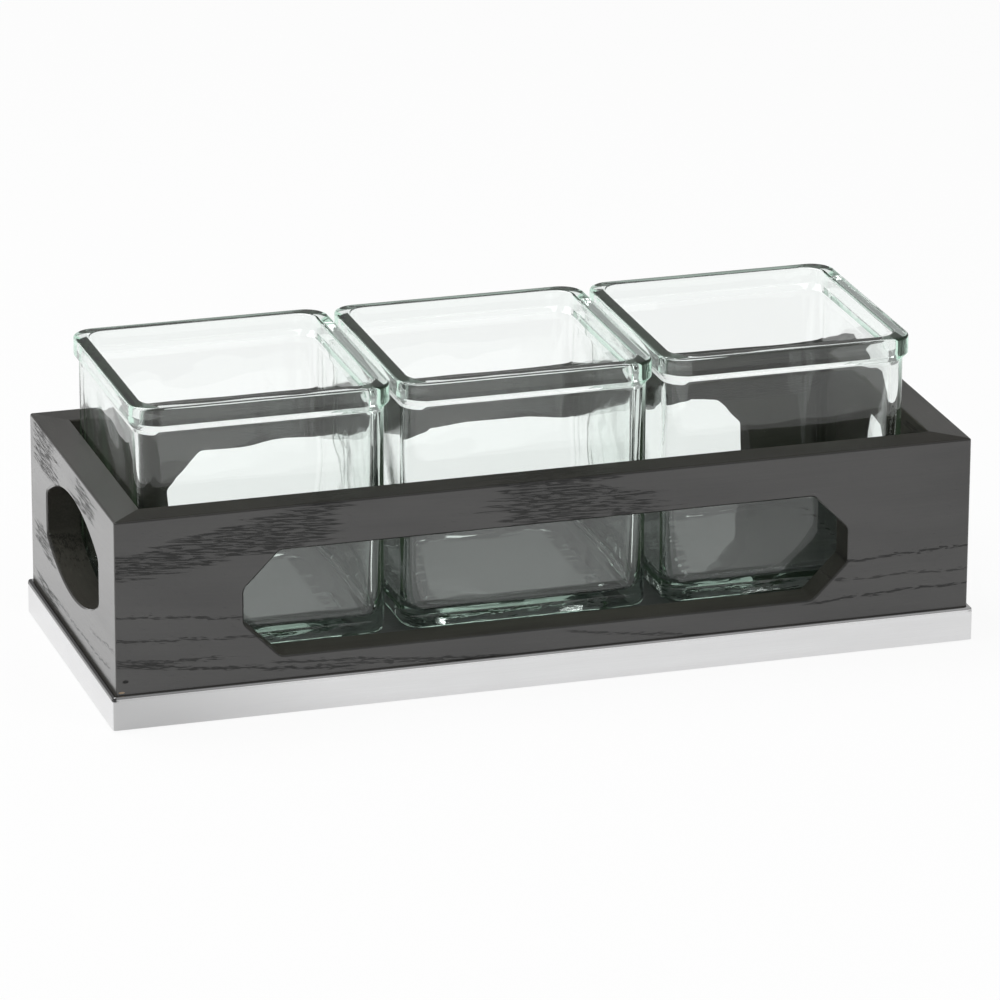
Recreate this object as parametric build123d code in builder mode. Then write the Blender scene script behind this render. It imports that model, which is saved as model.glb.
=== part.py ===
from build123d import *
import os

os.makedirs("parts", exist_ok=True)

# A caddy for three square glass jars: a mitred wooden box with a slot in each long side
# and a handle hole in each end, on a folded steel pan with four rubber feet.
# The origin is on the table under the middle of the pan. X runs along the box,
# Y goes to the back and Z is up. All sizes are in millimetres.

# Jars
jar_body_width = 105.8
jar_wall = 3.5
jar_height = 109.2
jar_rim_lip = 2.0  # how far the rim stands out past the body
jar_rim_height = 8.0
jar_neck_height = 2.6
jar_rim_corner = 10.0
jar_body_corner = 9.0
jar_rim_round = 1.2
jar_heel_round = 4.5
jar_mouth_step = 0.4  # how much narrower the mouth is than the inside, on each side
jar_mouth_corner = 8.0
jar_mouth_depth = 9.0
jar_ease_depth = 4.0  # height over which the inside widens below the mouth
jar_inner_corner = 7.5
jar_draft = 0.5  # degrees that the inside narrows towards its floor
jar_base_thickness = 8.0
jar_inner_round = 4.0
jar_push_up = 1.6  # hollow under the base
jar_bearing_width = 9.0
jar_gap = 3.0  # between the rims of two jars

# Spare room in the box round the row of jars, which stands loose and a little to the left
left_room = 0.95
right_room = 7.55
side_room = 4.65  # at the front and at the back

# Wooden box
wall_height = 74.6
wall_thickness = 14.2
edge_ease = 1.0  # sanded rounding of the outer and top edges
cut_ease = 0.6  # small bevel round the slots and the handle holes
mitre_overrun = 1.0  # how far the cutting outlines run past both ends of a mitre

# Slot in each long side, an octagon with eased corners
slot_end = 53.85  # wood left at each end of the slot
slot_height = 45.9
slot_sill = 9.9  # wood left below the slot
slot_bevel = 15.4
slot_corner_radius = 4.0

# Handle hole in each end, with straight ends and an arched top and bottom
handle_end = 27.45  # wood left at each side of the hole
handle_end_height = 19.4
handle_rise = 12.2  # how far each arch rises above the straight ends
handle_sill = 17.4  # wood left below the lowest point of the hole
handle_corner_radius = 4.0

# Floor board, let into a rabbet round the foot of the walls
floor_thickness = 6.2
rabbet_depth = 5.0
floor_clearance = 0.3

# Splines glued across the mitres
spline_thickness = 3.0
spline_width = 11.0
spline_inset = 8.0  # from the inner corner, along the mitre
spline_end_gap = 9.0  # from the top of the wall, and from the rabbet
spline_clearance = 0.1

# Steel pan, folded from sheet, and its feet
pan_height = 14.3
pan_ledge = 1.9  # how far the pan stands out past the wood
pan_sheet = 1.2
pan_bend = 1.4  # outer radius of the folds
foot_proud = 1.0  # how far the feet stand below the pan
foot_radius = 10.0
foot_tip_radius = 9.2
foot_round = 0.8
foot_inset = 20.0  # from the pan's sides to the middle of a foot
foot_recess_radius = 4.9
foot_web = 4.5  # rubber between the washer and the pan
washer_thickness = 1.0
washer_clearance = 0.3

# Screws
screw_radius = 1.5
screw_head_radius = 3.2
screw_head_height = 2.0
screw_tip = 2.0
screw_clearance = 0.2  # in the pan, the feet and the washers
pilot_clearance = 0.05
panel_screw_bite = 10.8  # length in the wall
foot_screw_bite = 5.0  # length in the floor board
long_side_screw_end = 32.15  # from the end of the box to the first screw of a long side
short_side_screw_end = 35.75

# Sizes that follow from those above. The box is as long and as deep as its jars need.
jar_rim_width = jar_body_width + 2 * jar_rim_lip
jar_inner_width = jar_body_width - 2 * jar_wall
jar_mouth_width = jar_inner_width - 2 * jar_mouth_step
jar_pitch = jar_rim_width + jar_gap
well_length = 2 * jar_pitch + jar_body_width + left_room + right_room
well_depth = jar_body_width + 2 * side_room
box_length = well_length + 2 * wall_thickness
box_depth = well_depth + 2 * wall_thickness
half_length = box_length / 2
half_depth = box_depth / 2
slot_length = box_length - 2 * slot_end
handle_length = box_depth - 2 * handle_end
pan_length = box_length + 2 * pan_ledge
pan_depth = box_depth + 2 * pan_ledge
wall_bottom = foot_proud + pan_height
wall_top = wall_bottom + wall_height
plate_bottom = wall_bottom - pan_sheet
floor_top = wall_bottom + floor_thickness
wall_rest = wall_thickness - rabbet_depth  # width of wood that stands on the pan
first_jar_x = -well_length / 2 + left_room + jar_body_width / 2

# Where the wall screws stand: two in each long side and two in each end
side_y = half_depth - wall_rest / 2
end_x = half_length - wall_rest / 2
side_screw_x = half_length - long_side_screw_end
end_screw_y = half_depth - short_side_screw_end
panel_screw_spots = [(side * side_screw_x, end * side_y) for side in (-1, 1) for end in (-1, 1)] + [
    (side * end_x, end * end_screw_y) for side in (-1, 1) for end in (-1, 1)
]

# The four corners, each as its side in X and in Y
corners = {"front_left": (-1, -1), "front_right": (1, -1), "back_left": (-1, 1), "back_right": (1, 1)}

# Feet stand under the corners
foot_x = pan_length / 2 - foot_inset
foot_y = pan_depth / 2 - foot_inset
foot_spots = [(side * foot_x, end * foot_y) for side, end in corners.values()]

# The middle of each spline is on the mitre, and its long side lies across the mitre
spline_step = spline_inset / 2**0.5
spline_x = well_length / 2 + spline_step
spline_y = well_depth / 2 + spline_step
spline_bottom = floor_top + spline_end_gap
spline_height = wall_top - spline_end_gap - spline_bottom

# All four walls in one, as the glued box is sanded and cut
with BuildPart() as box_walls:
    with BuildSketch(Plane.XY.offset(wall_bottom)):
        Rectangle(box_length, box_depth)
        Rectangle(well_length, well_depth, mode=Mode.SUBTRACT)
    extrude(amount=wall_height)
    outer_faces = box_walls.faces().filter_by(Axis.Y).sort_by(Axis.Y)
    outer_uprights = outer_faces[0].edges().filter_by(Axis.Z) + outer_faces[-1].edges().filter_by(Axis.Z)
    fillet(outer_uprights, edge_ease)
    fillet(box_walls.edges().group_by(Axis.Z)[-1], edge_ease)

    # The slot, through the front and the back
    with BuildSketch(Plane.XZ) as slot:
        with Locations((0, wall_bottom + slot_sill + slot_height / 2)):
            Rectangle(slot_length, slot_height)
        chamfer(slot.vertices(), slot_bevel)
        fillet(slot.vertices(), slot_corner_radius)
    extrude(amount=half_depth, both=True, mode=Mode.SUBTRACT)

    # The handle hole, through both ends
    handle_middle = wall_bottom + handle_sill + handle_rise + handle_end_height / 2
    with BuildSketch(Plane.YZ) as handle:
        with BuildLine():
            shoulder = handle_end_height / 2
            crown = shoulder + handle_rise
            reach = handle_length / 2
            top_arch = ThreePointArc(
                (-reach, handle_middle + shoulder), (0, handle_middle + crown), (reach, handle_middle + shoulder)
            )
            low_arch = ThreePointArc(
                (-reach, handle_middle - shoulder), (0, handle_middle - crown), (reach, handle_middle - shoulder)
            )
            Line(top_arch @ 0, low_arch @ 0)
            Line(top_arch @ 1, low_arch @ 1)
        make_face()
        fillet(handle.vertices(), handle_corner_radius)
    extrude(amount=half_length, both=True, mode=Mode.SUBTRACT)

    # A fine bevel round each cut, on the outside
    for axis in (Axis.X, Axis.Y):
        for end in (0, -1):
            outside = box_walls.faces().filter_by(axis).sort_by(axis)[end]
            chamfer(outside.inner_wires()[0].edges(), cut_ease)

    # Rabbet for the floor board
    with BuildSketch(Plane.XY.offset(wall_bottom)):
        Rectangle(well_length + 2 * rabbet_depth, well_depth + 2 * rabbet_depth)
    extrude(amount=floor_thickness, mode=Mode.SUBTRACT)

    # Blind kerfs for the splines, and pilot holes for the screws
    with BuildSketch(Plane.XY.offset(spline_bottom - spline_clearance)):
        for side, end in corners.values():
            with Locations((side * spline_x, end * spline_y)):
                Rectangle(
                    spline_width + 2 * spline_clearance,
                    spline_thickness + 2 * spline_clearance,
                    rotation=-45 * side * end,
                )
    extrude(amount=spline_height + 2 * spline_clearance, mode=Mode.SUBTRACT)
    with BuildSketch(Plane.XY.offset(wall_bottom)):
        with Locations(*panel_screw_spots):
            Circle(screw_radius + pilot_clearance)
    extrude(amount=panel_screw_bite + screw_clearance, mode=Mode.SUBTRACT)

# The walls part at the mitres. Each outline below runs along two mitres, past both ends.
outer_x, outer_y = half_length + mitre_overrun, half_depth + mitre_overrun
inner_x, inner_y = well_length / 2 - mitre_overrun, well_depth / 2 - mitre_overrun

with BuildPart() as front_panel:
    add(box_walls.part)
    with BuildSketch(Plane.XY.offset(wall_bottom)):
        with BuildLine():
            Polyline(
                (-outer_x, -outer_y), (outer_x, -outer_y), (inner_x, -inner_y), (-inner_x, -inner_y), close=True
            )
        make_face()
    extrude(amount=wall_height, mode=Mode.INTERSECT)
front_panel.part.label = "front_panel"
export_step(front_panel.part, "parts/front_panel.step")

with BuildPart() as back_panel:
    mirror(front_panel.part, about=Plane.XZ)
back_panel.part.label = "back_panel"
export_step(back_panel.part, "parts/back_panel.step")

with BuildPart() as left_end_panel:
    add(box_walls.part)
    with BuildSketch(Plane.XY.offset(wall_bottom)):
        with BuildLine():
            Polyline(
                (-outer_x, -outer_y), (-inner_x, -inner_y), (-inner_x, inner_y), (-outer_x, outer_y), close=True
            )
        make_face()
    extrude(amount=wall_height, mode=Mode.INTERSECT)
left_end_panel.part.label = "left_end_panel"
export_step(left_end_panel.part, "parts/left_end_panel.step")

with BuildPart() as right_end_panel:
    mirror(left_end_panel.part, about=Plane.YZ)
right_end_panel.part.label = "right_end_panel"
export_step(right_end_panel.part, "parts/right_end_panel.step")

# Splines
for corner, (side, end) in corners.items():
    with BuildPart() as spline:
        with BuildSketch(Plane.XY.offset(spline_bottom)):
            with Locations((side * spline_x, end * spline_y)):
                Rectangle(spline_width, spline_thickness, rotation=-45 * side * end)
        extrude(amount=spline_height)
    spline.part.label = f"spline_{corner}"
    export_step(spline.part, f"parts/spline_{corner}.step")

# Floor board, held between the rabbet and the pan
with BuildPart() as floor_board:
    with BuildSketch(Plane.XY.offset(wall_bottom)):
        Rectangle(
            well_length + 2 * (rabbet_depth - floor_clearance), well_depth + 2 * (rabbet_depth - floor_clearance)
        )
    extrude(amount=floor_thickness)
    with BuildSketch(Plane.XY.offset(wall_bottom)):
        with Locations(*foot_spots):
            Circle(screw_radius + pilot_clearance)
    extrude(amount=foot_screw_bite + screw_clearance, mode=Mode.SUBTRACT)
floor_board.part.label = "floor_board"
export_step(floor_board.part, "parts/floor_board.step")

# Steel pan: a flat plate with a skirt folded down on all four sides
with BuildPart() as base_pan:
    with BuildSketch(Plane.XY.offset(foot_proud)):
        RectangleRounded(pan_length, pan_depth, pan_bend)
    extrude(amount=pan_height)
    fillet(base_pan.faces().sort_by(Axis.Z)[-1].edges(), pan_bend * 0.8)
    offset(amount=-pan_sheet, openings=base_pan.faces().sort_by(Axis.Z)[0])
    with BuildSketch(Plane.XY.offset(plate_bottom)):
        with Locations(*panel_screw_spots, *foot_spots):
            Circle(screw_radius + screw_clearance)
    extrude(amount=pan_sheet, mode=Mode.SUBTRACT)
base_pan.part.label = "base_pan"
export_step(base_pan.part, "parts/base_pan.step")


# A round-headed wood screw, head down, with its head's flat face at the height given
def wood_screw(seat, length):
    with BuildPart() as screw:
        with BuildSketch(Plane.XZ) as profile:
            with BuildLine():
                crown = seat - screw_head_height
                edge = seat - screw_head_height * 0.35
                ThreePointArc(
                    (0, crown), (screw_head_radius * 0.72, crown + screw_head_height * 0.2), (screw_head_radius, edge)
                )
                Polyline(
                    (screw_head_radius, edge),
                    (screw_head_radius, seat),
                    (screw_radius, seat),
                    (screw_radius, seat + length - screw_tip),
                    (0, seat + length),
                    (0, crown),
                )
            make_face()
        revolve(axis=Axis.Z)
    return screw.part


# Screws through the pan into the walls
panel_screw = wood_screw(plate_bottom, pan_sheet + panel_screw_bite)
with BuildPart() as panel_screws:
    with Locations(*panel_screw_spots):
        add(panel_screw)
panel_screws.part.label = "panel_screws"
export_step(panel_screws.part, "parts/panel_screws.step")

# Rubber feet, each hollow below for its washer and screw
for corner, (side, end) in corners.items():
    with BuildPart() as foot:
        with BuildSketch(Plane.XZ):
            with BuildLine():
                bore = screw_radius + screw_clearance
                seat = plate_bottom - foot_web
                Polyline(
                    (foot_tip_radius - foot_round, 0),
                    (foot_recess_radius, 0),
                    (foot_recess_radius, seat),
                    (bore, seat),
                    (bore, plate_bottom),
                    (foot_radius, plate_bottom),
                    (foot_tip_radius, foot_round),
                )
                RadiusArc((foot_tip_radius, foot_round), (foot_tip_radius - foot_round, 0), foot_round)
            make_face()
        revolve(axis=Axis.Z)
    with BuildPart() as placed_foot:
        with Locations((side * foot_x, end * foot_y)):
            add(foot.part)
    placed_foot.part.label = f"foot_{corner}"
    export_step(placed_foot.part, f"parts/foot_{corner}.step")

# Washers in the feet, and the screws that hold the feet
with BuildPart() as foot_washers:
    with BuildSketch(Plane.XY.offset(plate_bottom - foot_web - washer_thickness)):
        with Locations(*foot_spots):
            Circle(foot_recess_radius - washer_clearance)
            Circle(screw_radius + screw_clearance, mode=Mode.SUBTRACT)
    extrude(amount=washer_thickness)
foot_washers.part.label = "foot_washers"
export_step(foot_washers.part, "parts/foot_washers.step")

foot_screw_seat = plate_bottom - foot_web - washer_thickness
foot_screw = wood_screw(foot_screw_seat, washer_thickness + foot_web + pan_sheet + foot_screw_bite)
with BuildPart() as foot_screws:
    with Locations(*foot_spots):
        add(foot_screw)
foot_screws.part.label = "foot_screws"
export_step(foot_screws.part, "parts/foot_screws.step")

# The space inside a jar: a mouth, a short step outwards below it, and a long body that
# narrows slightly to a rounded floor
mouth_bottom = jar_height - jar_mouth_depth
body_top = mouth_bottom - jar_ease_depth
with BuildPart() as jar_space:
    with BuildSketch(Plane.XY.offset(body_top)):
        RectangleRounded(jar_inner_width, jar_inner_width, jar_inner_corner)
    extrude(amount=jar_base_thickness - body_top, taper=jar_draft)
    fillet(jar_space.faces().sort_by(Axis.Z)[0].edges(), jar_inner_round)
    with BuildSketch(Plane.XY.offset(body_top)):
        RectangleRounded(jar_inner_width, jar_inner_width, jar_inner_corner)
    with BuildSketch(Plane.XY.offset(mouth_bottom)):
        RectangleRounded(jar_mouth_width, jar_mouth_width, jar_mouth_corner)
    loft()
    with BuildSketch(Plane.XY.offset(mouth_bottom)):
        RectangleRounded(jar_mouth_width, jar_mouth_width, jar_mouth_corner)
    extrude(amount=jar_mouth_depth)

# One jar, standing on its own origin: heel, body, sloping neck and a heavy rim
neck_bottom = jar_height - jar_rim_height - jar_neck_height
with BuildPart() as jar:
    with BuildSketch():
        RectangleRounded(jar_body_width, jar_body_width, jar_body_corner)
    extrude(amount=neck_bottom)
    fillet(jar.faces().sort_by(Axis.Z)[0].edges(), jar_heel_round)
    with BuildSketch(Plane.XY.offset(neck_bottom)):
        RectangleRounded(jar_body_width, jar_body_width, jar_body_corner)
    with BuildSketch(Plane.XY.offset(neck_bottom + jar_neck_height)):
        RectangleRounded(jar_rim_width, jar_rim_width, jar_rim_corner)
    loft()
    with BuildSketch(Plane.XY.offset(neck_bottom + jar_neck_height)):
        RectangleRounded(jar_rim_width, jar_rim_width, jar_rim_corner)
    extrude(amount=jar_rim_height)
    add(jar_space.part, mode=Mode.SUBTRACT)
    fillet(jar.faces().sort_by(Axis.Z)[-1].edges(), jar_rim_round)
    hollow_width = jar_body_width - 2 * (jar_heel_round + jar_bearing_width)
    with BuildSketch():
        RectangleRounded(hollow_width, hollow_width, jar_body_corner)
    extrude(amount=jar_push_up, taper=45, mode=Mode.SUBTRACT)

for place, name in enumerate(("jar_left", "jar_middle", "jar_right")):
    with BuildPart() as placed_jar:
        with Locations((first_jar_x + place * jar_pitch, 0, floor_top)):
            add(jar.part)
    placed_jar.part.label = name
    export_step(placed_jar.part, f"parts/{name}.step")
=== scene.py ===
import math

import bpy
import numpy as np
from mathutils import Matrix, Vector


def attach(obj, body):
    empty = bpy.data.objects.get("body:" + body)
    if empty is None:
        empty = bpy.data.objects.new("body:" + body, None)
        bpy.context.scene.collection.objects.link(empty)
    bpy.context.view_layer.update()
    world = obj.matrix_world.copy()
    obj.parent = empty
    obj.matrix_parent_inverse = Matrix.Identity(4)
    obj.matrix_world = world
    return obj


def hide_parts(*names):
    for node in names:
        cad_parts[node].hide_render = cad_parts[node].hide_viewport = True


# Looks for the jar caddy: stained wooden box, polished pan, three moulded glass jars.
# Sizes in the dictionaries are millimetres unless a note says otherwise.

mm = 0.001
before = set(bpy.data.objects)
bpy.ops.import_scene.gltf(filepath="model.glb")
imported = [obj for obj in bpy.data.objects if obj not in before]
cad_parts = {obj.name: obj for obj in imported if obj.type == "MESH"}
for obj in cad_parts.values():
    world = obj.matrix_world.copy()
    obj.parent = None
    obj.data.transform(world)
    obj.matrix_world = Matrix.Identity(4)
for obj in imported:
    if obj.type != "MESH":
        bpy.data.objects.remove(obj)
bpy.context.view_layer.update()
print("frame loaded:", len(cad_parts), "nodes")


photoView = {
    "target": (0.76, 0.0, 56.77),
    "distance": 2919.0,
    "azimuth": -17.335,  # degrees, 0 looks along +Y
    "elevation": 19.487,
    "roll": 0.277,
    "lens": 250.15,
    "sensor": 36.0,
}


def placeCamera(view):
    az, el, roll = (math.radians(view[k]) for k in ("azimuth", "elevation", "roll"))
    away = Vector((math.sin(az) * math.cos(el), -math.cos(az) * math.cos(el), math.sin(el)))
    side = Vector((math.cos(az), math.sin(az), 0.0))
    top = away.cross(side)
    right = side * math.cos(roll) + top * math.sin(roll)
    up = top * math.cos(roll) - side * math.sin(roll)
    spot = (Vector(view["target"]) + away * view["distance"]) * mm
    camera = bpy.data.objects.new("photoCamera", bpy.data.cameras.new("photoCamera"))
    camera.data.lens = view["lens"]
    camera.data.sensor_width = view["sensor"]
    camera.data.clip_end = 60.0  # metres
    turn = Matrix((right, up, away)).transposed()
    camera.matrix_world = Matrix.Translation(spot) @ turn.to_4x4()
    bpy.context.scene.collection.objects.link(camera)
    bpy.context.scene.camera = camera


placeCamera(photoView)
bpy.context.scene.view_settings.view_transform = "Standard"
print("camera placed")


class Wire:
    # an output socket that can be used in plain arithmetic; each sign adds one Math node
    def __init__(self, mat, socket):
        self.mat, self.socket = mat, socket

    def __add__(self, other):
        return self.mat.calc("ADD", self, other)

    __radd__ = __add__

    def __sub__(self, other):
        return self.mat.calc("SUBTRACT", self, other)

    def __rsub__(self, other):
        return self.mat.calc("SUBTRACT", other, self)

    def __mul__(self, other):
        return self.mat.calc("MULTIPLY", self, other)

    __rmul__ = __mul__

    def __truediv__(self, other):
        return self.mat.calc("DIVIDE", self, other)


class Mat:
    # one material or world, made of nodes
    def __init__(self, name, block=None):
        self.block = block or bpy.data.materials.new(name)
        self.block.use_nodes = True
        self.tree = self.block.node_tree
        self.tree.nodes.clear()

    # node type, its settings, then the values or wires of its sockets by name or number
    def add(self, kind, settings=None, inputs=None, out=0):
        node = self.tree.nodes.new(kind)
        for key, value in (settings or {}).items():
            if key == "stops":
                ramp = node.color_ramp
                while len(ramp.elements) < len(value):
                    ramp.elements.new(0.5)
                for element, (spot, colour) in zip(ramp.elements, value):
                    element.position, element.color = spot, (*colour, 1.0)
            else:
                setattr(node, key, value)
        for key, value in (inputs or {}).items():
            if isinstance(value, Wire):
                self.tree.links.new(value.socket, node.inputs[key])
            elif isinstance(value, tuple) and len(value) < len(node.inputs[key].default_value):
                node.inputs[key].default_value = (*value, 1.0)  # a colour without its alpha
            else:
                node.inputs[key].default_value = value
        return Wire(self, node.outputs[out]) if len(node.outputs) else None

    def calc(self, operation, *values):
        return self.add("ShaderNodeMath", {"operation": operation}, dict(enumerate(values)))

    # 0 below low, 1 above high, smooth in between; low above high turns it round
    def ease(self, value, low, high):
        return self.add("ShaderNodeMapRange", {"interpolation_type": "SMOOTHSTEP"},
                        {"Value": value, "From Min": low, "From Max": high})

    def noise(self, vector, scale=1.0, detail=2.0, roughness=0.5):
        return self.add("ShaderNodeTexNoise", {}, {"Vector": vector, "Scale": scale, "Detail": detail,
                                                   "Roughness": roughness})

    def vector(self, x, y, z):
        return self.add("ShaderNodeCombineXYZ", {}, {0: x, 1: y, 2: z})

    def blend(self, factor, first, second):
        return self.add("ShaderNodeMix", {"data_type": "RGBA"}, {0: factor, 6: first, 7: second}, out=2)

    # object coordinates in millimetres, as three numbers
    def places(self):
        spot = self.add("ShaderNodeTexCoord", out="Object")
        split = [self.add("ShaderNodeSeparateXYZ", {}, {0: spot}, out=axis) for axis in range(3)]
        return [part * 1000.0 for part in split]

    def lightPath(self, name):
        return self.add("ShaderNodeLightPath", out=name)

    # 1 where the camera looks at it directly or through glass only, 0 for light and reflections
    def seenDirectly(self):
        kinds = [self.lightPath(name) for name in ("Is Camera Ray", "Is Transmission Ray")]
        turns = self.lightPath("Diffuse Depth") + self.lightPath("Glossy Depth")
        return self.calc("MAXIMUM", *kinds) * self.calc("LESS_THAN", turns, 0.5)

    def bump(self, height, depth):
        return self.add("ShaderNodeBump", {}, {"Height": height, "Strength": 1.0, "Distance": depth * mm})

    def finish(self, shader, volume=None):
        kind = "World" if isinstance(self.block, bpy.types.World) else "Material"
        self.add("ShaderNodeOutput" + kind, {}, {"Surface": shader, **({"Volume": volume} if volume else {})})
        return self.block


def dress(nodeNames, material):
    for name in nodeNames:
        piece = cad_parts[name]
        for slot in piece.material_slots:
            slot.material = material
        if not piece.material_slots:
            piece.data.materials.append(material)


studio = {
    "floorSize": 9000.0,
    "floorColour": (0.86, 0.86, 0.86),
    "floorGlow": 0.92,  # share of plain white that the camera sees on the floor
    "glossGlow": 0.52,  # the same share for reflections
    "dome": [(0.0, 0.30), (0.35, 0.33), (0.8, 0.36)],  # height above the horizon, grey of the room there
    "lampTarget": (0.0, 0.0, 40.0),
    "lamps": [
        # name, place, size, watts, seen in reflections
        ("overheadSoftbox", (-700.0, 250.0, 1700.0), 1500.0, 23.0, True),
        ("frontSoftbox", (700.0, -1300.0, 1200.0), 900.0, 8.0, False),
    ],
}


def buildStage(look):
    half = look["floorSize"] * mm / 2
    mesh = bpy.data.meshes.new("studioFloor")
    corners = [(-half, -half, 0), (half, -half, 0), (half, half, 0), (-half, half, 0)]
    mesh.from_pydata(corners, [], [(0, 1, 2, 3)])
    floor = bpy.data.objects.new("studioFloor", mesh)
    bpy.context.scene.collection.objects.link(floor)
    m = Mat("paleFloor")
    matt = m.add("ShaderNodeBsdfDiffuse", {}, {"Color": look["floorColour"]})
    glow = m.add("ShaderNodeEmission", {}, {"Color": (1.0, 1.0, 1.0), "Strength": 1.0})
    mirrored = m.lightPath("Is Glossy Ray") * look["glossGlow"]
    white = m.calc("MAXIMUM", m.seenDirectly() * look["floorGlow"], mirrored)
    mesh.materials.append(m.finish(m.add("ShaderNodeMixShader", {}, {0: white, 1: matt, 2: glow})))

    # white for the camera and through glass; for light and gloss a dim room, lighter overhead
    world = bpy.data.worlds.new("studioRoom")
    bpy.context.scene.world = world
    w = Mat("studioRoom", world)
    height = w.add("ShaderNodeSeparateXYZ", {}, {0: w.add("ShaderNodeTexCoord", out="Generated")}, out=2)
    stops = [(spot, (grey,) * 3) for spot, grey in look["dome"]]
    dome = w.add("ShaderNodeValToRGB", {"stops": stops}, {0: height})
    colour = w.blend(w.seenDirectly(), dome, (1.0, 1.0, 1.0))
    w.finish(w.add("ShaderNodeBackground", {}, {"Color": colour, "Strength": 1.0}))

    for name, place, size, watts, mirrored in look["lamps"]:
        lamp = bpy.data.lights.new(name, "AREA")
        lamp.shape, lamp.size, lamp.energy = "SQUARE", size * mm, watts
        holder = bpy.data.objects.new(name, lamp)
        holder.location = Vector(place) * mm
        towards = Vector(look["lampTarget"]) * mm - holder.location
        holder.rotation_euler = towards.to_track_quat("-Z", "Y").to_euler()
        holder.visible_glossy = mirrored
        bpy.context.scene.collection.objects.link(holder)


buildStage(studio)
print("stage and light built")


wallShape = {"foot": 15.3, "top": 89.9}  # heights

stain = {
    "dark": (0.0085, 0.0078, 0.0066),
    "light": (0.0160, 0.0148, 0.0125),
    "pore": (0.0030, 0.0030, 0.0027),
    "inner": (0.048, 0.045, 0.038),  # top edges, faces turned to the jars and the edges of the openings
    "innerShade": 0.6,  # share of it in the darker streaks
    "bareWood": (0.28, 0.19, 0.10),  # in a chip
    "roughness": 0.34,
    "coat": 1.0,
    "coatRoughness": 0.15,
    "coatRunOut": 0.7,  # width in which the polish ends
    "poreDepth": 0.16,
    "strayPores": 0.30,  # strength of the pores outside the patches
    "sway": 3.6,  # how far up and down the grain wanders
    "ragged": 46.0,  # how far apart the rows of a patch start and end
    "swell": 4.0,  # how much a line of pores swells and thins
}

# noise drawn out along the grain: how fine it is along the board and across it, its detail and its roughness
grainNoise = {
    "ragged": (0.02, 0.62, 1.0, 0.5),
    "dash": (0.115, 1.55, 2.0, 0.55),
    "chain": (0.24, 1.5, 1.0, 0.5),
    "stray": (0.30, 2.6, 1.0, 0.5),
    "streak": (0.022, 0.9, 3.0, 0.6),
    "cloud": (0.012, 0.05, 2.0, 0.5),
}

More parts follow.
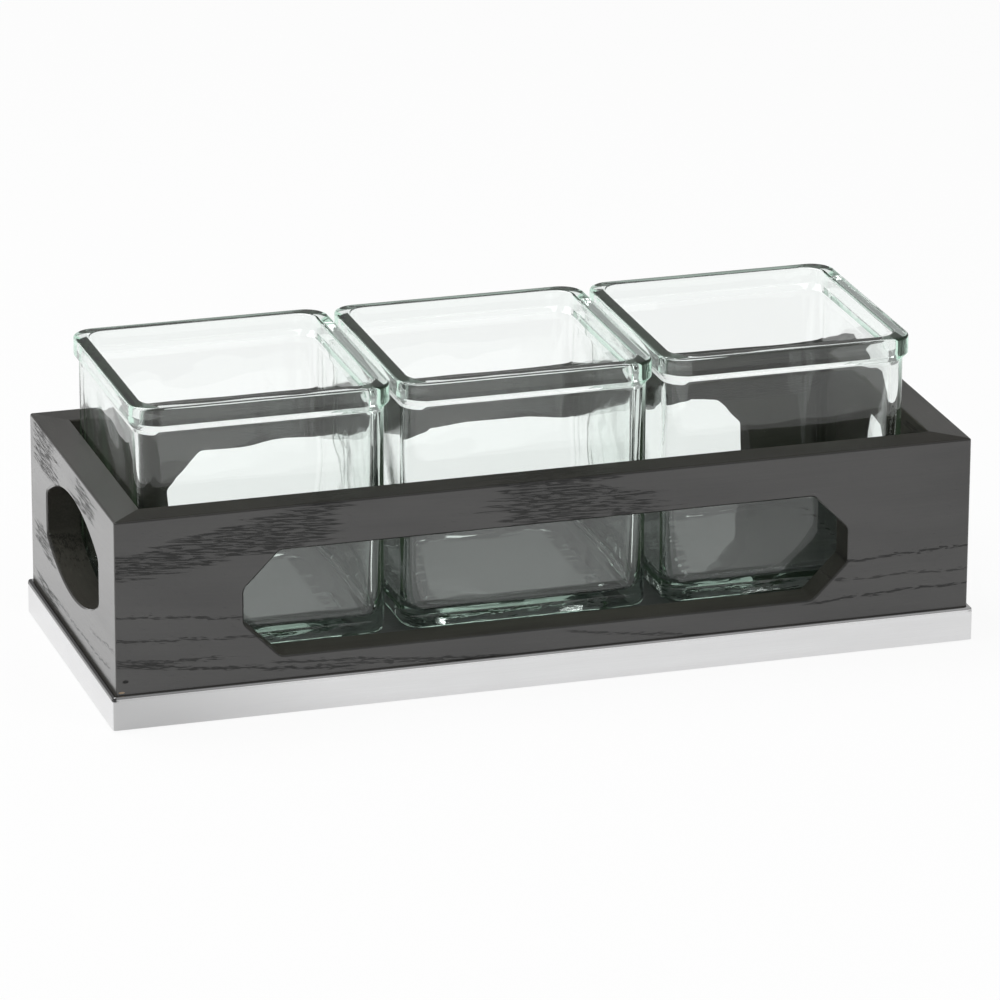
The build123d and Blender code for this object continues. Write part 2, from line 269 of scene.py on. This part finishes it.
# The figure of each board. The grain bows along it: its height is z less bow times the square of the
# distance from bowCentre. A patch of open pores is given along the board and across this grain: start, end,
# height at the start, rise per millimetre, half width at the start, widening per millimetre, and how full of
# pores it is. A single line of pores has start, end, height, rise, half width and strength. Spots are a knot
# or a chip in the stain: place along the board, height, half length and half height.
# Edge is how far in the polish ends at an opening, foot how high above the pan it is taken off as painted
# shade, top how thin it is on the top edge, and the last key how much of it is taken off towards the low
# front corner, as painted shade that darkens the reflection there. Tint makes the board paler.
boards = {
    "front_panel": {
        "alongX": True, "face": -71.75, "inward": 1, "seed": 0.0, "bow": 0.00015, "bowCentre": 120.0,
        "foot": 0.2, "edge": 0.3, "top": 0.9, "tint": 1.0, "paintedShadeAndPatches": 0.0,
        "patches": [(-200.0, -92.0, 52.2, 0.22, 5.4, 0.03, 1.0), (-19.0, 22.0, 79.0, -0.02, 14.0, 0.0, 1.0),
                    (18.0, 46.0, 75.0, -0.10, 8.0, 0.0, 0.55), (-192.0, -166.0, 14.6, -0.02, 1.6, 0.0, 0.8)],
        "lines": [(-186.0, -128.0, 34.6, 0.005, 0.65, 0.9), (-186.0, -118.0, 25.1, 0.008, 0.65, 0.9),
                  (-186.0, -140.0, 16.3, 0.01, 0.7, 0.9), (-186.0, -84.0, 14.4, -0.035, 0.9, 1.0),
                  (-118.0, -20.0, 14.6, -0.02, 0.9, 0.9), (-104.0, -30.0, 12.2, 0.0, 0.6, 0.8),
                  (8.0, 78.0, 21.4, -0.122, 0.6, 0.8), (128.0, 186.0, 40.6, 0.035, 0.75, 1.0),
                  (122.0, 186.0, 33.4, -0.02, 0.6, 0.8), (112.0, 186.0, 24.2, 0.022, 0.75, 1.0)],
        "spots": [("knot", -180.2, 21.1, 1.3, 0.7), ("chip", -181.9, 16.5, 1.3, 0.45)]},
    "back_panel": {
        "alongX": True, "face": 71.75, "inward": -1, "seed": 37.0, "bow": 0.00012, "bowCentre": -60.0,
        "foot": 0.5, "edge": 0.3, "top": 0.5, "tint": 1.0, "paintedShadeAndPatches": 0.0,
        "patches": [(20.0, 200.0, 70.0, 0.04, 6.0, 0.03, 1.0), (-96.0, -44.0, 78.0, 0.02, 12.0, 0.0, 0.9),
                    (-200.0, -150.0, 44.0, -0.10, 6.0, 0.0, 0.7)],
        "lines": [(-186.0, -110.0, 30.0, 0.01, 0.8, 1.0), (-186.0, -96.0, 21.0, -0.02, 0.7, 0.9),
                  (-150.0, 10.0, 16.0, 0.01, 0.8, 0.9), (60.0, 186.0, 16.0, 0.02, 0.8, 1.0),
                  (122.0, 186.0, 34.0, -0.03, 0.7, 0.9), (118.0, 186.0, 26.0, 0.02, 0.7, 0.9)],
        "spots": []},
    "left_end_panel": {
        "alongX": False, "face": -184.15, "inward": 1, "seed": 71.0, "bow": 0.0004, "bowCentre": 10.0,
        "foot": 4.2, "edge": 0.9, "top": 0.35, "tint": 2.4, "paintedShadeAndPatches": 0.14,
        "patches": [(28.0, 60.0, 80.0, 0.0, 9.0, 0.0, 1.0), (-36.0, -8.0, 80.5, 0.09, 4.5, 0.06, 1.0),
                    (34.0, 60.0, 39.0, 0.05, 5.0, 0.04, 1.0), (26.0, 58.0, 19.5, 0.0, 2.6, 0.0, 1.0)],
        "lines": [(-62.0, 30.0, 21.0, 0.012, 0.7, 0.6), (-70.0, -30.0, 30.0, -0.02, 0.6, 0.5)],
        "spots": []},
    "right_end_panel": {
        "alongX": False, "face": 184.15, "inward": -1, "seed": 113.0, "bow": 0.0003, "bowCentre": -20.0,
        "foot": 4.2, "edge": 0.9, "top": 0.35, "tint": 1.4, "paintedShadeAndPatches": 0.1,
        "patches": [(-80.0, -36.0, 76.0, 0.05, 7.0, 0.05, 1.0), (0.0, 60.0, 82.0, -0.03, 5.0, 0.0, 0.9),
                    (-60.0, 10.0, 24.0, 0.02, 4.0, 0.02, 0.8)],
        "lines": [(-72.0, 0.0, 32.0, 0.03, 0.7, 0.9), (20.0, 72.0, 26.0, -0.03, 0.7, 0.9),
                  (34.0, 72.0, 40.0, 0.02, 0.6, 0.8)],
        "spots": []},
}


# Open pores are short dashes along the grain. Each row of them starts and ends at its own place, so the edges
# of a patch are ragged. The polish is thin in the pores and on the inner and top faces; along the foot it is
# taken off as painted shade where the board meets the pan.
def stainedBoard(name, board, look):
    m = Mat(name + "Wood")
    x, y, z = m.places()
    along, across = (x, y) if board["alongX"] else (y, x)
    depth = (across - board["face"]) * board["inward"]
    bowed = along - board["bowCentre"]
    shifted = along + board["seed"] * 11.0
    sway = (m.noise(m.vector(shifted * 0.03, z * 0.05, depth * 0.05), detail=2.0) - 0.5) * look["sway"]
    grain = z - bowed * bowed * board["bow"]

    def figure(kind):
        fineAlong, fineAcross, detail, roughness = grainNoise[kind]
        place = m.vector(shifted * fineAlong, grain * fineAcross, depth * fineAcross)
        return m.noise(place, detail=detail, roughness=roughness)

    ragged = (figure("ragged") - 0.5) * look["ragged"] + along
    dash = figure("dash")
    chain = (0.5 - figure("chain")) * look["swell"]
    pores = m.ease(figure("stray"), 0.68, 0.76) * look["strayPores"]
    for start, end, height, rise, half, widening, full in board["patches"]:
        middle = (ragged - start) * rise + height
        aside = m.calc("ABSOLUTE", grain + sway * 0.5 - middle) / ((along - start) * widening + half)
        inside = m.ease(aside, 1.05, 0.9) * m.ease(ragged, start - 4.0, start + 2.0)
        inside = inside * m.ease(ragged, end + 4.0, end - 2.0)
        limit = 0.55 - 0.08 * full
        pores = m.calc("MAXIMUM", pores, inside * (m.ease(dash, limit, limit + 0.05) * 0.70 + 0.12))
    for start, end, height, rise, half, strength in board["lines"]:
        aside = m.calc("ABSOLUTE", grain + sway - ((along - start) * rise + height)) + chain
        stretch = m.ease(along, start - 3.0, start + 3.0) * m.ease(along, end + 3.0, end - 3.0)
        pores = m.calc("MAXIMUM", pores, m.ease(aside, half * 0.8, half * 0.1) * stretch * (strength * 0.8))
    chip = 0.0
    for kind, place, height, longHalf, highHalf in board["spots"]:
        dx, dz = (along - place) * (1.0 / longHalf), (z - height) * (1.0 / highHalf)
        spot = m.ease(dx * dx + dz * dz, 1.4, 0.5) * m.ease(depth, 1.0, 0.5)
        if kind == "knot":
            pores = m.calc("MAXIMUM", pores, spot)
        else:
            chip = spot

    streak, cloud = figure("streak"), figure("cloud")
    tone = m.ease(streak * 0.4 + cloud * 0.6, 0.30, 0.70)
    foot, peak = wallShape["foot"], wallShape["top"]
    within = m.ease(depth, board["edge"], board["edge"] + look["coatRunOut"])
    within = within * m.ease(z, peak - 0.1, peak - 0.3)
    # painted shade: the polish is taken off along the foot of the board, darkening it just above the pan
    low = m.ease(z, foot + 0.1 + board["foot"], foot - 0.1)
    top = m.ease(z, peak - 0.3, peak - 0.05)
    mattAndFootShade = m.calc("MAXIMUM", m.calc("MAXIMUM", within, low), top * board["top"])
    # painted shade: less polish towards the low front corner darkens the reflection there; the cloud adds
    # random patches of thinner polish
    paintedShadeAndPatches = m.ease(z + y * 0.35, 48.0, 12.0) * board["paintedShadeAndPatches"] + (1.0 - m.ease(cloud, 0.35, 0.6)) * 0.10
    dark, light = (tuple(c * board["tint"] for c in look[shade]) for shade in ("dark", "light"))
    colour = m.blend(pores * 0.9, m.blend(tone, dark, light), look["pore"])
    inner = m.blend(tone, tuple(c * look["innerShade"] for c in look["inner"]), look["inner"])
    bump = m.bump(streak * 0.08 - pores, look["poreDepth"])
    polished = m.add("ShaderNodeBsdfPrincipled", {}, {
        "Base Color": m.blend(chip, colour, look["bareWood"]),
        "Roughness": pores * 0.30 + streak * 0.08 + (look["roughness"] - 0.04),
        "IOR": 1.5,
        "Coat Weight": (1.0 - pores * 0.95) * (1.0 - paintedShadeAndPatches) * look["coat"],
        "Coat Roughness": look["coatRoughness"],
        "Coat IOR": 1.6,
        "Normal": bump,
    })
    plain = m.add("ShaderNodeBsdfPrincipled", {}, {
        "Base Color": m.blend(m.calc("MAXIMUM", pores * 0.6, top * 0.4), inner, look["pore"]),
        "Roughness": streak * 0.1 + 0.6,
        "IOR": 1.16,
        "Normal": bump,
    })
    return m.finish(m.add("ShaderNodeMixShader", {}, {0: mattAndFootShade, 1: polished, 2: plain}))


for name, board in boards.items():
    dress([name], stainedBoard(name, board, stain))
print("stained boards dressed")

floorWood = {"dark": (0.006, 0.006, 0.006), "light": (0.013, 0.013, 0.012), "roughness": 0.5, "fineness": 0.5}
splineWood = {"dark": (0.42, 0.28, 0.15), "light": (0.55, 0.40, 0.24), "roughness": 0.6, "fineness": 1.6}


# plain wood with straight grain along X: fine long streaks between two tones
def straightWood(name, look):
    m = Mat(name)
    x, y, z = m.places()
    fineness = look["fineness"]
    streak = m.noise(m.vector(x * 0.02, y * fineness, z * fineness), detail=3.0, roughness=0.6)
    tone = m.ease(streak, 0.3, 0.7)
    shader = m.add("ShaderNodeBsdfPrincipled", {}, {
        "Base Color": m.blend(tone, look["dark"], look["light"]),
        "Roughness": tone * 0.1 + look["roughness"],
        "Normal": m.bump(streak, 0.05),
    })
    return m.finish(shader)


dress(["floor_board"], straightWood("floorBoardWood", floorWood))
dress(["spline_front_left", "spline_front_right", "spline_back_left", "spline_back_right"],
      straightWood("splineBirch", splineWood))


panShape = {"halfLength": 186.05, "halfDepth": 73.65, "bend": 1.4}
panSteel = {
    "colour": (0.87, 0.87, 0.875),
    # painted dark reflection of the wood, on the fold and the ledge at the left end
    "paintedWoodReflection": (0.06, 0.06, 0.06),
    "patchShade": 0.965,  # share of the colour in the darker patches
    "paintedShadeEnd": 0.54,  # share of the colour at the left end of the front, a painted shade
    "roughness": 0.10,
}
screwSteel = {**panSteel, "colour": (0.62, 0.62, 0.60), "paintedShadeEnd": 1.0, "roughness": 0.32}


# Polished sheet: faint long rubbing marks, slightly darker patches, painted shade on the front that deepens
# towards its left end, and a rougher strip where the fold begins. At the left end the fold and the ledge
# above it carry a painted dark reflection of the wood, which also paints out the highlight on the front
# corner.
def polishedSteel(name, look):
    m = Mat(name)
    x, y, z = m.places()
    fold = wallShape["foot"] - panShape["bend"]
    front, reach = -panShape["halfDepth"], panShape["halfLength"] + panShape["halfDepth"]
    woodEnd = boards["left_end_panel"]["face"]
    rub = m.noise(m.vector(x * 0.05, y * 0.05, z * 2.2), detail=3.0, roughness=0.6)
    cloud = m.noise(m.vector(x * 0.03, y * 0.03, z * 0.08), detail=2.0)
    shade, paintedShadeColour = (tuple(c * look[share] for c in look["colour"]) for share in ("patchShade", "paintedShadeEnd"))
    colour = m.blend(m.ease(rub * 0.5 + cloud * 0.5, 0.35, 0.65), shade, look["colour"])
    # painted shade: the front darkens towards its left end, and slightly over its upper part
    paintedFrontShade = m.ease(y, front + 0.75, front + 0.35)
    paintedFrontShade = paintedFrontShade * m.calc("MAXIMUM", m.ease(x, -55.0, -230.0), m.ease(z, 3.0, 11.0) * 0.13)
    strip = m.ease(z, fold - 1.0, fold) * m.ease(z, fold + 0.38, fold + 0.2)
    outward = m.calc("ABSOLUTE", x) + m.calc("ABSOLUTE", y)
    corner = m.ease(outward, reach - 3.1, reach - 1.5) * strip
    # painted dark reflection of the wood on the fold and the ledge at the left end, also painted over the
    # highlight on the corner
    paintedWoodReflection = m.calc("MAXIMUM", m.ease(z, fold - 0.9, fold - 0.2) * 0.85, corner)
    paintedWoodReflection = paintedWoodReflection * m.ease(x, woodEnd - 0.15, woodEnd - 0.65)
    uneven = m.ease(cloud, 0.3, 0.7) * 0.05 + rub * 0.04
    shader = m.add("ShaderNodeBsdfPrincipled", {}, {
        "Base Color": m.blend(paintedWoodReflection, m.blend(paintedFrontShade, colour, paintedShadeColour), look["paintedWoodReflection"]),
        "Metallic": 1.0,
        "Roughness": uneven + strip * 0.2 + corner * 0.5 + (look["roughness"] - 0.04),
        "Normal": m.bump(rub, 0.004),
    })
    return m.finish(shader)


dress(["base_pan"], polishedSteel("polishedPan", panSteel))
dress(["panel_screws", "foot_washers", "foot_screws"], polishedSteel("screwSteel", screwSteel))


rubber = {"dark": (0.012, 0.012, 0.012), "light": (0.028, 0.028, 0.027), "roughness": 0.6, "grainDepth": 0.05}


# matt black, with a fine grainy skin
def blackRubber(look):
    m = Mat("blackRubber")
    x, y, z = m.places()
    grain = m.noise(m.vector(x, y, z), scale=3.0, detail=2.0)
    shader = m.add("ShaderNodeBsdfPrincipled", {}, {
        "Base Color": m.blend(m.ease(grain, 0.35, 0.7), look["dark"], look["light"]),
        "Roughness": grain * 0.2 + look["roughness"],
        "Normal": m.bump(grain, look["grainDepth"]),
    })
    return m.finish(shader)


dress(["foot_front_left", "foot_front_right", "foot_back_left", "foot_back_right"], blackRubber(rubber))
print("metal and rubber dressed")


jarShape = {
    "centres": {"jar_left": -116.1, "jar_middle": -3.3, "jar_right": 109.5},  # along the box
    "stand": 21.5,  # height of the floor board's top
    "bodyHalf": 52.9,
    "rimHalf": 54.9,
    "innerHalf": 49.4,
    "mouthHalf": 49.0,
    "height": 109.2,
    "rimHeight": 8.0,
    "neckHeight": 2.6,
    "mouthDepth": 9.0,
    "easeDepth": 4.0,
    "draft": 0.5,  # degrees
    "base": 8.0,
    "bodyCorner": 9.0,
    "rimCorner": 10.0,
    "mouthCorner": 8.0,
    "innerCorner": 7.5,
    "leastCorner": 0.6,
    "pushUp": 1.6,  # how far the base is raised inside its standing edge
    "pushUpInset": 13.5,
    "pushUpRound": 0.6,
    "heelRound": 4.5,
    "neckRound": 0.9,
    "rimRound": 1.2,
    "mouthRound": 2.0,
    "floorRound": 4.0,
    "poleHalf": 2.0,  # the smallest ring, round the middle of the base
    "poleCorner": 1.5,
    "underHeight": 2.0,  # up to here the outside counts as the underside
    "wave": 0.16,  # unevenness of the moulded inside
    "waveFrom": 16.0,
    "waveGrows": 20.0,
    "waveFades": 12.0,
    "waveSeed": 1.7,
    "waveSeedStep": 2.3,
    "pathStep": 4.0,
    "cornerSteps": 9,
    "sideSteps": 16,
}


# Every inner corner of the outline, given as half width, height and rounding, becomes an arc. The arc's
# points are worked out by turning evenly from its first to its last radius line.
def roundedPath(outline, steps=7):
    outline = np.array(outline, float)
    p, r = outline[:, :2], outline[1:-1, 2:]
    toBack, toNext = p[:-2] - p[1:-1], p[2:] - p[1:-1]
    toBack /= np.linalg.norm(toBack, axis=1, keepdims=True)
    toNext /= np.linalg.norm(toNext, axis=1, keepdims=True)
    half = np.arccos(np.clip((toBack * toNext).sum(1, keepdims=True), -1, 1)) / 2
    bisector = toBack + toNext
    bisector /= np.linalg.norm(bisector, axis=1, keepdims=True)
    centre = p[1:-1] + bisector * r / np.sin(half)
    start = p[1:-1] + toBack * r / np.tan(half) - centre
    end = p[1:-1] + toNext * r / np.tan(half) - centre
    sweep = (np.pi - 2 * half)[:, :, None]
    t = np.linspace(0, 1, steps)[None, :, None]
    arcs = (np.sin((1 - t) * sweep) * start[:, None] + np.sin(t * sweep) * end[:, None]) / np.sin(sweep)
    return np.vstack([p[:1], (arcs + centre[:, None]).reshape(-1, 2), p[-1:]])


# The same path with extra stations, so that no step along it is longer than the one asked. Of two stations
# that nearly meet only one stays.
def spacedPath(path, step):
    length = np.r_[0, np.cumsum(np.linalg.norm(np.diff(path, axis=0), axis=1))]
    stations = np.union1d(length, np.arange(0, length[-1], step))
    stations = stations[np.r_[True, np.diff(stations) > 0.02]]
    return np.column_stack([np.interp(stations, length, path[:, k]) for k in (0, 1)])


# A rounded square, as four numbers for each point: x = (half - corner) * ax + corner * bx, and y likewise.
# Points lie evenly on the four corner arcs and on the four sides between them.
def squareRing(cornerSteps, sideSteps):
    turn = np.linspace(0, np.pi / 2, cornerSteps + 1)
    sign = np.array([(1, 1), (-1, 1), (-1, -1), (1, -1)], float)
    angle = turn[None, :] + np.arange(4)[:, None] * np.pi / 2
    arc = np.stack([np.cos(angle), np.sin(angle)], 2)
    hub = np.repeat(sign[:, None], cornerSteps + 1, 1)
    t = np.linspace(0, 1, sideSteps + 1)[1:-1][None, :, None]
    sideHub = sign[:, None] * (1 - t) + np.roll(sign, -1, 0)[:, None] * t
    sideArc = np.repeat(arc[:, -1:], sideSteps - 1, 1)
    return np.concatenate([hub, sideHub], 1).reshape(-1, 2), np.concatenate([arc, sideArc], 1).reshape(-1, 2)


# closed skin from rings of equal length, with a fan at both ends; the rings run from one pole to the other
def ringSkin(name, rings, firstPole, lastPole):
    n, m = rings.shape[:2]
    index = np.arange(n * m).reshape(n, m)
    nextOne = np.roll(index, -1, 1)
    quads = np.stack([index[:-1], nextOne[:-1], nextOne[1:], index[1:]], 2).reshape(-1, 4)
    first = np.stack([np.full(m, n * m), nextOne[0], index[0]], 1)
    last = np.stack([np.full(m, n * m + 1), index[-1], nextOne[-1]], 1)
    mesh = bpy.data.meshes.new(name)
    corners = np.vstack([rings.reshape(-1, 3), [firstPole], [lastPole]])
    mesh.vertices.add(len(corners))
    mesh.vertices.foreach_set("co", corners.astype(np.float32).ravel())
    loops = np.concatenate([quads.ravel(), first.ravel(), last.ravel()])
    sizes = np.concatenate([np.full(len(quads), 4), np.full(2 * m, 3)])
    mesh.loops.add(len(loops))
    mesh.loops.foreach_set("vertex_index", loops)
    mesh.polygons.add(len(sizes))
    mesh.polygons.foreach_set("loop_start", np.r_[0, np.cumsum(sizes)[:-1]])
    mesh.polygons.foreach_set("loop_total", sizes)
    mesh.polygons.foreach_set("use_smooth", np.ones(len(sizes), bool))
    mesh.update(calc_edges=True)
    mesh.validate()
    return mesh


glassLook = {
    "surface": (0.985, 1.0, 0.993),
    "deep": (0.36, 0.80, 0.57),
    "density": 6.0,
    "shadow": (0.93, 0.96, 0.945),
    "ripple": 0.25,
    "bounces": 3.5,  # past this many bounces in the glass, a painted glow of a set tone
    # tones of that painted glow: where the box stands round the glass, and above it
    "inBox": (0.012, 0.017, 0.011),
    "inRoom": (0.40, 0.46, 0.43),
    "boxToRoom": (94.0, 126.0),  # heights between which the first tone gives way to the second
}


def clearGlass(look, shape):
    m = Mat("clearGlass")
    x, y, z = m.places()
    stand, side, centres = shape["stand"], shape["bodyHalf"], shape["centres"]
    slow = m.noise(m.vector(x * 0.035, y * 0.035, z * 0.06), detail=1.0)
    quick = m.noise(m.vector(x * 0.10, y * 0.10, z * 0.50), detail=2.0)
    pitch = centres["jar_right"] - centres["jar_middle"]
    within = m.calc("MODULO", x + (1.5 * pitch - centres["jar_middle"]), pitch)
    wide = m.calc("MAXIMUM", m.calc("ABSOLUTE", within - pitch / 2), m.calc("ABSOLUTE", y))
    # the outer part of the thick base is the least even
    low = m.ease(z, stand + 7.9, stand + 6.5) * m.ease(z, stand + 1.1, stand + 2.5) * m.ease(wide, 34.0, 42.0)
    # painted light: past the set number of bounces in the glass, a glow in the tone of what stands round that
    # height
    lost = m.calc("GREATER_THAN", m.lightPath("Glossy Depth"), look["bounces"])
    paintedGlow = m.blend(m.ease(z, *look["boxToRoom"]), look["inBox"], look["inRoom"])
    # round its edge the underside lies on the wood and lets light into it, and further in only in streaks
    streak = m.noise(m.vector(x * 0.06, y * 0.22, 0.0), detail=1.0)
    ring = m.calc("MAXIMUM", m.ease(wide, 40.0, 44.0), m.ease(wide, 31.0, 34.0) * m.ease(streak, 0.42, 0.47))
    laid = ring * m.ease(z, stand + 2.6, stand + 2.0) * m.ease(wide, side - 0.5, side - 1.3)
    clear = m.add("ShaderNodeBsdfPrincipled", {}, {
        "Base Color": look["surface"],
        "Roughness": 0.0,
        "IOR": 1.52,
        "Transmission Weight": 1.0,
        "Emission Color": m.blend(lost, (0.0, 0.0, 0.0), paintedGlow),
        "Emission Strength": 1.0,
        "Normal": m.bump(quick * low * 1.2 + slow, look["ripple"]),
    })
    shadow = m.add("ShaderNodeBsdfTransparent", {}, {"Color": look["shadow"]})
    clear = m.add("ShaderNodeMixShader", {}, {0: laid, 1: clear, 2: m.add("ShaderNodeBsdfTransparent")})
    both = m.add("ShaderNodeMixShader", {}, {0: m.lightPath("Is Shadow Ray"), 1: clear, 2: shadow})
    deep = m.add("ShaderNodeVolumeAbsorption", {}, {"Color": look["deep"], "Density": look["density"]})
    return m.finish(both, deep)


# A profile carried round a square with rounded corners: it gives the square's half width at each height.
def glassJar(node, centreX, s, material, seed):
    neckTop = s["height"] - s["rimHeight"]
    neckLow = neckTop - s["neckHeight"]
    mouthLow = s["height"] - s["mouthDepth"]
    easeLow = mouthLow - s["easeDepth"]
    narrow = (easeLow - s["base"]) * math.tan(math.radians(s["draft"]))
    foot, heel = s["bodyHalf"] - s["pushUpInset"], s["bodyHalf"] - s["heelRound"]
    # from under the base, up the outside, over the rim and down the inside
    outline = [
        (s["poleHalf"], s["pushUp"], 0),
        (foot - s["pushUp"], s["pushUp"], s["pushUpRound"]),
        (foot, 0, s["pushUpRound"]),
        (s["bodyHalf"], 0, s["heelRound"]),
        (s["bodyHalf"], neckLow, s["neckRound"]),
        (s["rimHalf"], neckTop, s["neckRound"]),
        (s["rimHalf"], s["height"], s["rimRound"]),
        (s["mouthHalf"], s["height"], s["rimRound"]),
        (s["mouthHalf"], mouthLow, s["mouthRound"]),
        (s["innerHalf"], easeLow, s["mouthRound"]),
        (s["innerHalf"] - narrow, s["base"], s["floorRound"]),
        (s["poleHalf"], s["base"], 0),
    ]
    path = spacedPath(roundedPath(outline), s["pathStep"])
    inside = np.arange(len(path)) > np.argmax(path[:, 1])
    half, height = path[:, 0], path[:, 1]
    # where an edge is rounded the corner keeps its centre: reference radius plus what the side has moved
    outside = [np.interp(height, [neckLow, neckTop], pair) for pair in
               ((s["bodyHalf"], s["rimHalf"]), (s["bodyCorner"], s["rimCorner"]))]
    within = [np.interp(height, [s["base"], easeLow, mouthLow], three) for three in
              ((s["innerHalf"] - narrow, s["innerHalf"], s["mouthHalf"]),
               (s["innerCorner"] - narrow, s["innerCorner"], s["mouthCorner"]))]
    corner = np.where(inside, within[1] + half - within[0], outside[1] + half - outside[0])
    underCorners = [s["poleCorner"], s["bodyCorner"], s["bodyCorner"] - s["heelRound"], s["bodyCorner"]]
    underCorner = np.interp(half, [s["poleHalf"], foot, heel, s["bodyHalf"]], underCorners)
    corner = np.where((height < s["underHeight"]) & ~inside, underCorner, corner)
    corner = np.minimum(np.maximum(corner, s["leastCorner"]), half)
    hub, arc = squareRing(s["cornerSteps"], s["sideSteps"])
    flat = hub[None] * (half - corner)[:, None, None] + arc[None] * corner[:, None, None]
    # the inside of the walls is a little uneven: slow waves that die out at the mouth and the floor
    around = np.arctan2(flat[:, :, 1], flat[:, :, 0])
    rise = height[:, None]
    wave = np.sin(around * 5 + seed + rise * 0.045) + np.sin(around * 9 - seed * 2 + rise * 0.09) * 0.6
    wave = wave + np.sin(rise * 0.11 + seed * 3 + around * 2) * 0.8
    window = np.clip((rise - s["waveFrom"]) / s["waveGrows"], 0, 1) * inside[:, None]
    window = window * np.clip((easeLow - rise) / s["waveFades"], 0, 1)
    flat = flat + arc[None] * (wave * window * s["wave"])[:, :, None]
    upright = np.repeat(rise + s["stand"], flat.shape[1], 1)
    rings = np.dstack([flat[:, :, 0] + centreX, flat[:, :, 1], upright]) * mm
    poles = [(centreX * mm, 0, (h + s["stand"]) * mm) for h in (s["pushUp"], s["base"])]
    name = node.replace("jar_", "") + "GlassJar"
    jar = bpy.data.objects.new(name, ringSkin(name, rings, *poles))
    bpy.context.scene.collection.objects.link(jar)
    jar.data.materials.append(material)
    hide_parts(node)
    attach(jar, node.replace("jar_", "") + "_jar")


glass = clearGlass(glassLook, jarShape)
for count, (node, centreX) in enumerate(jarShape["centres"].items()):
    seed = jarShape["waveSeed"] + count * jarShape["waveSeedStep"]
    glassJar(node, centreX, jarShape, glass, seed)
print("glass jars made")
